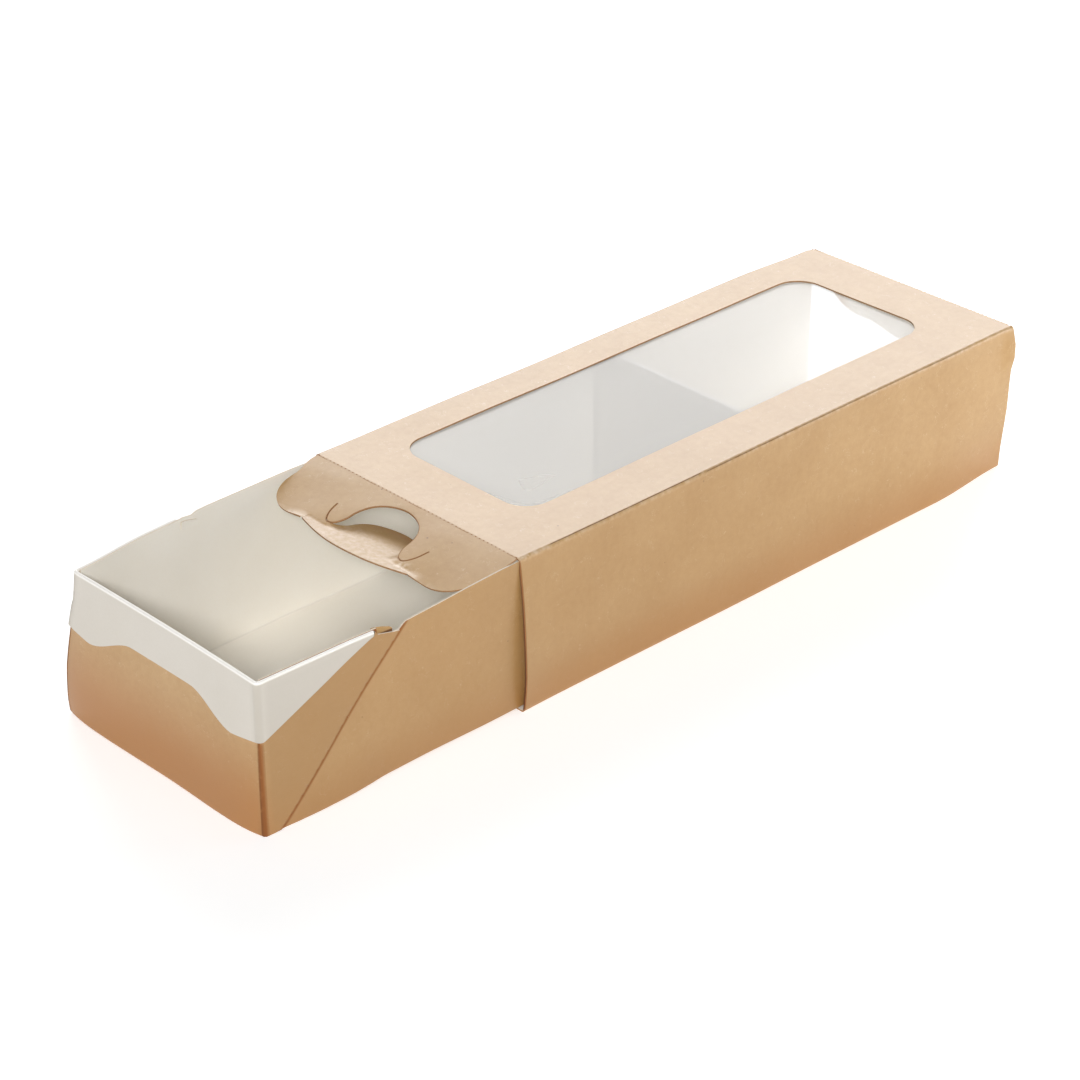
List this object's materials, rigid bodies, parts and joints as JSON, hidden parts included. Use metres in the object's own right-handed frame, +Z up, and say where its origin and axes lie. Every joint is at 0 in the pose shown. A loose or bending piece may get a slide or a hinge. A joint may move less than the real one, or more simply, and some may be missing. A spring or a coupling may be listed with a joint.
{
  "type": "windowed sushi box",
  "caption": "Kraft board sleeve with a clear top window and tuck flaps, round a folded white-lined tray that slides out.",
  "frame": {"origin": "middle of the underside of the whole box, with the tray drawn out as in the picture", "axes": "+Y along the sleeve from the drawn-out tray to the far end, +X to the right of it, +Z up"},
  "size_m": [0.0726, 0.2542, 0.04],
  "materials": {
    "kraft_board": "matt kraft brown outside, white coated inside",
    "clear_film": "thin clear glossy film"
  },
  "bodies": {
    "sleeve": {"sleeve": "kraft_board", "window_film": "clear_film"},
    "tray": {"tray": "kraft_board"},
    "front_flap": {"front_flap": "kraft_board"},
    "front_tongue": {"front_tongue": "kraft_board"},
    "rear_flap": {"rear_flap": "kraft_board"}
  },
  "joints": [
    {"name": "tray_slide", "type": "slide", "parent": "sleeve", "child": "tray", "axis": [0, -1, 0], "range_m": [-0.042, 0.084]},
    {"name": "front_flap_hinge", "type": "hinge", "parent": "sleeve", "child": "front_flap", "pos_m": [-0.00054, -0.05049, 0.04], "axis": [-1, 0, 0], "range_deg": [0, 176]},
    {"name": "front_tongue_hinge", "type": "hinge", "parent": "front_flap", "child": "front_tongue", "pos_m": [-0.00054, -0.06814, 0.03648], "axis": [-1, 0, 0], "range_deg": [-21, 20]},
    {"name": "rear_flap_hinge", "type": "hinge", "parent": "sleeve", "child": "rear_flap", "pos_m": [-0.00054, 0.11951, 0.04], "axis": [1, 0, 0], "range_deg": [-14, 236]}
  ]
}
